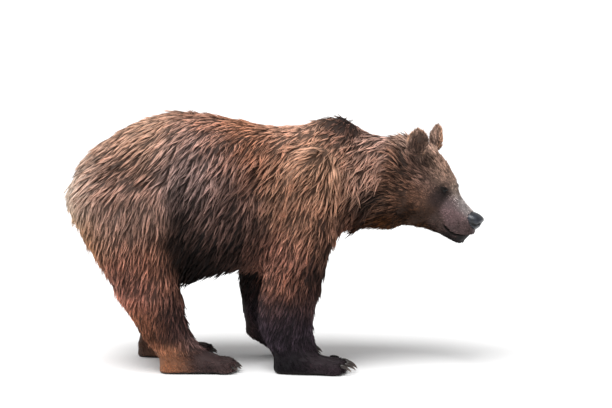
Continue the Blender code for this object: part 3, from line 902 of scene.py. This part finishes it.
def coat_roots(reach, cover, seed):
    """Roots of the locks whose length is within reach, with all that a lock needs."""
    spacing = np.sqrt(length * width / cover)
    within = (length >= reach[0]) & (length < reach[1]) & (bareness < 0.5)
    spacing = np.where(within, spacing, np.inf)
    picked, shares = scattered(spacing, seed)
    at = at_roots(surface.places, picked, shares)
    up = unit(at_roots(surface.normals, picked, shares))
    along = at_roots(lie, picked, shares)
    long = at_roots(length, picked, shares)
    wide = at_roots(width, picked, shares)
    kinds = part[triangles[picked][:, 0]]
    headness = at_roots(on_head, picked, shares)
    count = len(at)
    random = np.random.default_rng(seed + 1)

    # the lie wanders over a hand's breadth, more on the neck and shoulder than on the rump
    furl = np.clip(long / 0.06, 0.12, 1.0)[:, None]
    unruly = 0.5 + 0.7 * smooth_step(-0.25, 0.35, at[:, 0])[:, None]
    along = along + 0.42 * furl * unruly * wandering(at, 0.085, seed + 15)
    stray = 0.08 * random.normal(size=(count, 3))
    along += 0.42 * furl * unruly * wandering(at, 0.022, seed + 3) + stray
    along = unit(along - up * (along * up).sum(1, keepdims=True))
    laid = STANDS - FLATTER_RUMP * smooth_step(-0.1, -0.6, at[:, 0]) * (1 - headness)
    laid = laid + STEEPER_EARS * among(kinds, "ear")
    crest = np.exp(-((at[:, 0] - CREST_AT) ** 2) / 0.022**2) * smooth_step(0.99, 1.02, at[:, 2])
    hump = np.exp(-((at[:, 0] - HUMP_AT) ** 2) / 0.11**2) * smooth_step(0.94, 1.0, at[:, 2])
    smooth = np.maximum(smooth_step(0.5, 0.9, up[:, 2]), smooth_step(0.5, 0.9, -up[:, 0]))
    smooth = smooth * (1 - headness) * (1 - crest)
    hanging = smooth_step(-0.3, -0.8, up[:, 2]) * (long > 0.014)
    laid = laid + STEEPER_CREST * crest - FLATTER_OUTLINE * smooth + STEEPER_UNDERNEATH * hanging
    lift = np.radians(laid + 5 * random.normal(size=count)) + 0.12 * wandering(at, 0.05, seed + 5)[:, 0]

    # locks gather in clumps that share a tip, a lift, a length and a shade
    leader = clumps(at, 0.0035 + 0.22 * long, seed + 2)
    shared = random.normal(size=(count, 4))[leader]
    lift = np.clip(lift + np.radians(5) * shared[:, 0], np.radians(4), np.radians(60))
    stretch = long * np.clip(1 + 0.16 * random.normal(size=count) + 0.10 * shared[:, 1], 0.5, 1.35)
    stretch *= (1 - 0.4 * hump) * (1 - 0.3 * crest) * (1 - 0.25 * smooth)
    forward = along * np.cos(lift)[:, None] + up * np.sin(lift)[:, None]
    tip = at[leader] + forward[leader] * long[:, None]
    towards = unit(tip - at)
    forward = unit(forward + (1.1 * furl) * (towards - forward))
    side = unit(np.cross(up, forward))
    upward = np.cross(forward, side)
    turn = np.stack([
        np.arctan2(side[:, 2], upward[:, 2]),
        -np.arcsin(np.clip(forward[:, 2], -1, 1)),
        np.arctan2(forward[:, 1], forward[:, 0]),
    ], axis=1)
    size = np.stack([stretch, wide * random.uniform(0.6, 1.3, count), stretch], axis=1)
    tint = coat_colour(at + 0.03 * wandering(at, 0.06, seed + 7), headness, kinds)
    shade = (0.36 + 0.30 * headness) * shared[:, 2] + 0.34 * random.normal(size=count)
    shade += 0.75 * wandering(at, 0.032, seed + 9)[:, 0] + 0.40 * wandering(at, 0.11, seed + 11)[:, 0]
    # painted shade in the furrows between the toes
    shade -= 1.3 * at_roots(furrows, picked, shares)
    shade += (0.9 - 0.3 * furl[:, 0] + 0.4 * headness) * wandering(at, 0.012, seed + 13)[:, 0]
    tint = tint * np.exp(np.clip(shade, -1.5, 0.75))[:, None]
    tint *= np.minimum(1.0, LIGHTEST_HAIR / tint.max(1, keepdims=True))

    # no lock reaches below the floor
    low = at[:, 2] + forward[:, 2] * stretch - 0.16 * stretch - 0.003
    at[:, 2] += np.maximum(-low, 0.0)
    return {
        "at": at - up * 0.0015,
        "turn": turn,
        "size": size,
        "place": chart(at, kinds),
        "tint": np.column_stack([tint, np.ones(count)]),
    }


# -------------------- materials
def surface_material(name):
    material = bpy.data.materials.new(name)
    material.use_nodes = True
    tree = material.node_tree
    return material, tree, tree.nodes["Principled BSDF"]


def carried(tree, name, output="Fac"):
    """What the mesh carries under that name."""
    return add(tree, "ShaderNodeAttribute", attribute_name=name).outputs[output]


def grain(tree, at, size, detail, distortion=0.0):
    """Noise that goes through about size cycles to the metre."""
    inputs = {"Vector": at, "Scale": size, "Detail": detail, "Distortion": distortion}
    return add(tree, "ShaderNodeTexNoise", inputs).outputs["Fac"]


def ranged(tree, value, given, wanted, **settings):
    """The value, moved from the range it is given in to the range wanted."""
    inputs = {"Value": value, "From Min": given[0], "From Max": given[1]}
    inputs |= {"To Min": wanted[0], "To Max": wanted[1]}
    return add(tree, "ShaderNodeMapRange", inputs, **settings).outputs[0]


def times(tree, a, b):
    return add(tree, "ShaderNodeMath", {0: a, 1: b}, operation="MULTIPLY").outputs[0]


def times_each(tree, a, b):
    return add(tree, "ShaderNodeVectorMath", {0: a, 1: b}, operation="MULTIPLY").outputs[0]


def blend_of(tree, value, stops):
    """A colour that runs through the stops, each a place from 0 to 1 and a colour."""
    ramp = add(tree, "ShaderNodeValToRGB", {"Fac": value})
    elements = ramp.color_ramp.elements
    for number, (at, code) in enumerate(stops):
        element = elements[0] if number == 0 else elements.new(at)
        element.position, element.color = at, (*linear(code), 1)
    elements.remove(elements[-1])
    return ramp.outputs[0]


def bump(tree, shader, height, strength, distance):
    node = add(tree, "ShaderNodeBump", {"Height": height, "Strength": strength, "Distance": distance})
    tree.links.new(node.outputs[0], shader.inputs["Normal"])


def finish_surface(tree, shader, colour, **constants):
    """Gives the shader its colour and its constants, such as roughness."""
    tree.links.new(colour, shader.inputs["Base Color"])
    for name, value in constants.items():
        shader.inputs[name.replace("_", " ")].default_value = value


def hair_material():
    """Bear hair: dark at the root, partly as painted shade among the locks, its own colour along the
    lock, pale at the dry tip.
    """
    material, tree, shader = surface_material("bear_hair")
    tint = carried(tree, "tint", "Color")
    along, across = carried(tree, "along"), carried(tree, "across")
    spot = add(tree, "ShaderNodeTexCoord").outputs["Object"]
    # darker towards the root: partly the hair's darker base, partly painted shade among the locks
    dark_root_and_shade = ranged(tree, along, (0.0, 0.6), (0.12, 1.0), interpolation_type="SMOOTHSTEP")
    tip = ranged(tree, along, (0.5, 1.0), (0.0, 0.45), interpolation_type="SMOOTHSTEP")
    uneven = ranged(tree, grain(tree, spot, 420.0, 2.0), (0.0, 1.0), (0.75, 1.25))
    # strands run along the lock and change across it
    strand = add(tree, "ShaderNodeCombineXYZ", {"X": across, "Y": along}).outputs[0]
    strand = times_each(tree, strand, (2.6, 0.5, 1.0))
    strand = add(tree, "ShaderNodeVectorMath", {0: strand, 1: spot}).outputs[0]
    parted = ranged(tree, grain(tree, strand, 2.4, 1.0), (0.3, 0.7), (0.48, 1.5))
    bright = times(tree, uneven, parted)
    body = scaled(tree, tint, times(tree, dark_root_and_shade, bright))
    dry = scaled(tree, times_each(tree, tint, (1.65, 1.6, 1.5)), bright)
    mixed = add(tree, "ShaderNodeMix", {"Factor": tip}, data_type="RGBA")
    tree.links.new(body, mixed.inputs[6])
    tree.links.new(dry, mixed.inputs[7])
    finish_surface(tree, shader, mixed.outputs[2], Roughness=0.55, Specular_IOR_Level=0.16)
    return material


def skin_material():
    """Skin under the coat, in the coat's own colours and their painted shade but darker, with the nap
    of short hair.
    """
    material, tree, shader = surface_material("bear_skin_and_nap")
    spot = add(tree, "ShaderNodeTexCoord").outputs["Object"]
    nap = grain(tree, spot, 260.0, 4.0)
    shade = ranged(tree, nap, (0.0, 1.0), (0.25, 0.75))
    dark = scaled(tree, carried(tree, "marking", "Color"), shade)
    bump(tree, shader, nap, 0.5, 0.002)
    finish_surface(tree, shader, dark, Roughness=0.7, Specular_IOR_Level=0.2)
    return material


hair = hair_material()
skin.data.shade_smooth()
placed(skin, skin_material(), "coat", *FLESH)

tree = planting_tree()
long_locks = lock_family("long_lock", 3, 8, 0.16, 0.9)
short_locks = lock_family("short_lock", 3, 6, 0.12, 0.5)
nap_locks = lock_family("nap_lock", 1, 4, 0.08, 0.2)
# Each coat's shortest and longest hair, how many locks deep it covers the skin, and the triangles
# in one of its locks
for label, reach, cover, family, seed, each in (
    ("long", (0.046, 1.0), 3.5, long_locks, 101, 16),
    ("short", (0.024, 0.046), 3.0, short_locks, 202, 16),
    ("nap", (0.0, 0.024), 3.2, nap_locks, 303, 4),
):
    roots = coat_roots(reach, cover, seed)
    pieces = math.ceil(len(roots["at"]) * each / MAX_LOCK_TRIANGLES)
    order = np.argsort(roots["at"][:, 0], kind="stable")
    for number, chosen in enumerate(np.array_split(order, pieces)):
        own = {key: values[chosen] for key, values in roots.items()}
        placed(planted(f"coat_{label}_{number + 1}", tree, own, family, hair), hair, "coat")


# -------------------- claws
def horn_material():
    """Claw horn: near black at the root, paler and streaked along its length to the worn tip."""
    material, tree, shader = surface_material("claw_horn")
    spot = add(tree, "ShaderNodeTexCoord").outputs["Object"]
    streaks = grain(tree, spot, 240.0, 3.0, distortion=1.5)
    wear = times(tree, carried(tree, "along"), streaks)
    stops = ((0.0, "1C1614"), (0.30, "332925"), (0.52, "5E4E44"), (0.78, "A8917C"))
    bump(tree, shader, streaks, 0.25, 0.0006)
    finish_surface(tree, shader, blend_of(tree, wear, stops), Roughness=0.38)
    return material


horn = horn_material()
for name in CLAWS:
    bm = welded(name)
    bmesh.ops.dissolve_limit(bm, angle_limit=0.01, verts=bm.verts, edges=bm.edges)
    mesh = bpy.data.meshes.new(name + "_horn")
    bm.to_mesh(mesh)
    bm.free()
    claw = shown(mesh, name + "_horn")
    rounded = claw.modifiers.new("Rounded", "SUBSURF")
    rounded.levels = 2
    evaluated(claw)
    points = array_of(claw.data.vertices, "co", 3)
    middle = points.mean(0)
    axis = np.linalg.svd(points - middle, full_matrices=False)[2][0]
    foot = box_middle(name.replace("claw_", "").rsplit("_", 1)[0])
    axis *= np.sign(axis.dot(middle - foot))
    reach = (points - middle) @ axis
    write(claw.data, "along", "FLOAT", (reach - reach.min()) / np.ptp(reach))
    claw.data.shade_smooth()
    placed(claw, horn, "claw", name)


# -------------------- nose
# Sections of the nose pad on the head: forward, top, bottom, half width
NOSE = np.array([
    (0.336, 0.080, 0.044, 0.030),
    (0.345, 0.087, 0.036, 0.039),
    (0.358, 0.092, 0.032, 0.043),
    (0.372, 0.0945, 0.031, 0.0435),
    (0.386, 0.0945, 0.033, 0.041),
    (0.396, 0.0920, 0.037, 0.0355),
    (0.4005, 0.0875, 0.042, 0.028),
    (0.4025, 0.078, 0.052, 0.014),
])
NOSE_RINGS, NOSE_SIDES = 44, 96
# The line each nostril is sunk along: forward, aside and up
NOSTRIL = np.array([
    (0.4025, 0.014, 0.069), (0.400, 0.024, 0.066), (0.392, 0.034, 0.060), (0.380, 0.041, 0.053),
])


def nose_surface():
    """The bare nose pad with its nostrils and the groove between them, closed at both ends."""
    share = np.linspace(0.0, 1.0, NOSE_RINGS)
    given = np.linspace(0, 1, len(NOSE))
    rows = np.stack([np.interp(share, given, column) for column in NOSE.T], axis=1)
    for _ in range(6):
        rows[1:-1] = (rows[:-2] + 2 * rows[1:-1] + rows[2:]) / 4
    turn = np.linspace(0, 2 * math.pi, NOSE_SIDES, endpoint=False)
    round_y, round_z = (np.sign(v) * np.abs(v) ** 0.85 for v in (np.cos(turn), np.sin(turn)))
    points = []
    for forward, top, bottom, half in rows:
        narrowing = 1 - 0.16 * (round_z < 0) * np.abs(round_z)
        points.append(np.stack([
            np.full(NOSE_SIDES, forward),
            half * round_y * narrowing,
            (top + bottom) / 2 + (top - bottom) / 2 * round_z,
        ], axis=1))
    points = np.array(points)
    middle = points.mean(1, keepdims=True)
    ahead = np.array([0.030, 0, 0]) * smooth_step(0.5, 1.0, share)[:, None, None]
    outward = unit(points - middle + ahead)
    steps = np.linspace(0, 1, 8)
    path = np.concatenate([NOSTRIL[:-1] + (NOSTRIL[1:] - NOSTRIL[:-1]) * t for t in steps])
    sunk = np.zeros(points.shape[:2])
    for side in (-1, 1):
        away = np.linalg.norm(points[:, :, None] - path * np.array([1, side, 1]), axis=3).min(2)
        sunk = np.maximum(sunk, np.exp(-((away / 0.0062) ** 2)))
    groove = np.exp(-((points[:, :, 1] / 0.0016) ** 2)) * smooth_step(0.075, 0.060, points[:, :, 2])
    groove *= smooth_step(0.39, 0.40, points[:, :, 0])
    points = points - outward * (0.011 * sunk + 0.0018 * groove)[:, :, None]
    ends = [[rows[0, 0], 0, 0.062], [rows[-1, 0] + 0.0012, 0, 0.064]]
    flat = np.concatenate([points.reshape(-1, 3), ends])
    faces = []
    for r in range(NOSE_RINGS - 1):
        for k in range(NOSE_SIDES):
            n = (k + 1) % NOSE_SIDES
            a, b = r * NOSE_SIDES, (r + 1) * NOSE_SIDES
            faces.append((a + k, a + n, b + n, b + k))
    last = (NOSE_RINGS - 1) * NOSE_SIDES
    for k in range(NOSE_SIDES):
        n = (k + 1) % NOSE_SIDES
        faces.append((len(flat) - 2, n, k))
        faces.append((len(flat) - 1, last + k, last + n))
    mesh = bpy.data.meshes.new("nose_pad")
    mesh.from_pydata(head.world(flat).tolist(), [], faces)
    write(mesh, "sunk", "FLOAT", np.concatenate([sunk.ravel(), [0, 0]]))
    face_outward(mesh)
    return shown(mesh, "nose_pad")


def nose_material():
    """Moist bare nose skin: slate black, pebbled, with painted shade darkest in the nostrils."""
    material, tree, shader = surface_material("nose_skin")
    spot = add(tree, "ShaderNodeTexCoord").outputs["Object"]
    pebbles = add(tree, "ShaderNodeTexVoronoi", {"Vector": spot, "Scale": 520.0}).outputs["Distance"]
    slate = blend_of(tree, grain(tree, spot, 60.0, 3.0), ((0.3, "0B0C11"), (0.7, "1F2430")))
    # painted shade in the sunken nostrils
    dark = ranged(tree, carried(tree, "sunk"), (0.1, 0.6), (1.0, 0.03))
    bump(tree, shader, pebbles, 0.45, 0.0008)
    finish_surface(tree, shader, scaled(tree, slate, dark), Roughness=0.33, Specular_IOR_Level=0.6)
    return material


placed(nose_surface(), nose_material(), "nose", "nose")


# -------------------- eyes
def eye_material():
    """A moist eye: dark brown iris round a black pupil, a dusky white only at the corners."""
    material, tree, shader = surface_material("moist_eye")
    spot = add(tree, "ShaderNodeTexCoord").outputs["Object"]
    flecks = ranged(tree, grain(tree, spot, 900.0, 3.0), (0.0, 1.0), (-0.04, 0.04))
    off = {0: carried(tree, "off_gaze"), 1: flecks}
    off = add(tree, "ShaderNodeMath", off, operation="ADD").outputs[0]
    pupil = ((0.0, "020202"), (0.20, "040303"))
    iris = ((0.25, "26150C"), (0.42, "1C0F0A"), (0.48, "0E0A09"))
    white = ((0.60, "241B19"),)
    colour = blend_of(tree, off, pupil + iris + white)
    finish_surface(tree, shader, colour, Roughness=0.10, IOR=1.36, Specular_IOR_Level=0.35)
    return material


wet = eye_material()
for eye in eyes:
    bm = bmesh.new()
    bmesh.ops.create_uvsphere(bm, u_segments=40, v_segments=28, radius=EYE_RADIUS)
    mesh = bpy.data.meshes.new(eye.name + "_ball")
    bm.to_mesh(mesh)
    bm.free()
    ball = array_of(mesh.vertices, "co", 3).astype(float)
    off = np.arccos(np.clip(ball[:, 2] / EYE_RADIUS, -1, 1)) / math.pi
    turned = ball[:, :1] * eye.along + ball[:, 1:2] * eye.up + ball[:, 2:] * eye.gaze
    mesh.vertices.foreach_set("co", head.world(eye.middle + turned).astype(np.float32).ravel())
    write(mesh, "off_gaze", "FLOAT", off)
    face_outward(mesh)
    placed(shown(mesh, eye.name + "_ball"), wet, "eye", eye.name)

# -------------------- studio
bpy.ops.mesh.primitive_plane_add(size=400)
floor = bpy.context.object
floor.name = "floor"
paper, _, floor_shader = surface_material("pale_paper")
floor_shader.inputs["Base Color"].default_value = (*linear("F4F4F4"), 1)
floor_shader.inputs["Roughness"].default_value = 0.9
floor.data.materials.append(paper)

world = bpy.data.worlds.new("studio")
bpy.context.scene.world = world
world.use_nodes = True
world.node_tree.nodes["Background"].inputs[0].default_value = (1.0, 1.0, 1.0, 1.0)
world.node_tree.nodes["Background"].inputs[1].default_value = 0.55


def sun(name, elevation, azimuth, strength, spread):
    """A soft far lamp. Azimuth 0 shines from the camera's side, 90 from the bear's front."""
    lamp = bpy.data.lights.new(name, "SUN")
    lamp.energy = strength
    lamp.angle = math.radians(spread)
    obj = bpy.data.objects.new(name, lamp)
    e, a = math.radians(elevation), math.radians(azimuth)
    towards = Vector((math.sin(a) * math.cos(e), -math.cos(a) * math.cos(e), math.sin(e)))
    obj.rotation_euler = towards.to_track_quat("Z", "Y").to_euler()
    bpy.context.scene.collection.objects.link(obj)


sun("overhead", 62, -35, 3.3, 35)

CAMERA_PLACE = (0.151, -8.0, 1.6)
AIMED_HEIGHT = 0.675  # where it looks, over the middle of the bear
camera = bpy.data.cameras.new("camera")
camera.lens = 113.9
camera.sensor_width = 36.0
camera.clip_end = 1000
viewer = bpy.data.objects.new("camera", camera)
bpy.context.scene.collection.objects.link(viewer)
viewer.location = CAMERA_PLACE
downward = math.atan((CAMERA_PLACE[2] - AIMED_HEIGHT) / -CAMERA_PLACE[1])
viewer.rotation_euler = (math.radians(90) - downward, 0.0, 0.0)
bpy.context.scene.camera = viewer
bpy.context.scene.view_settings.view_transform = "Standard"
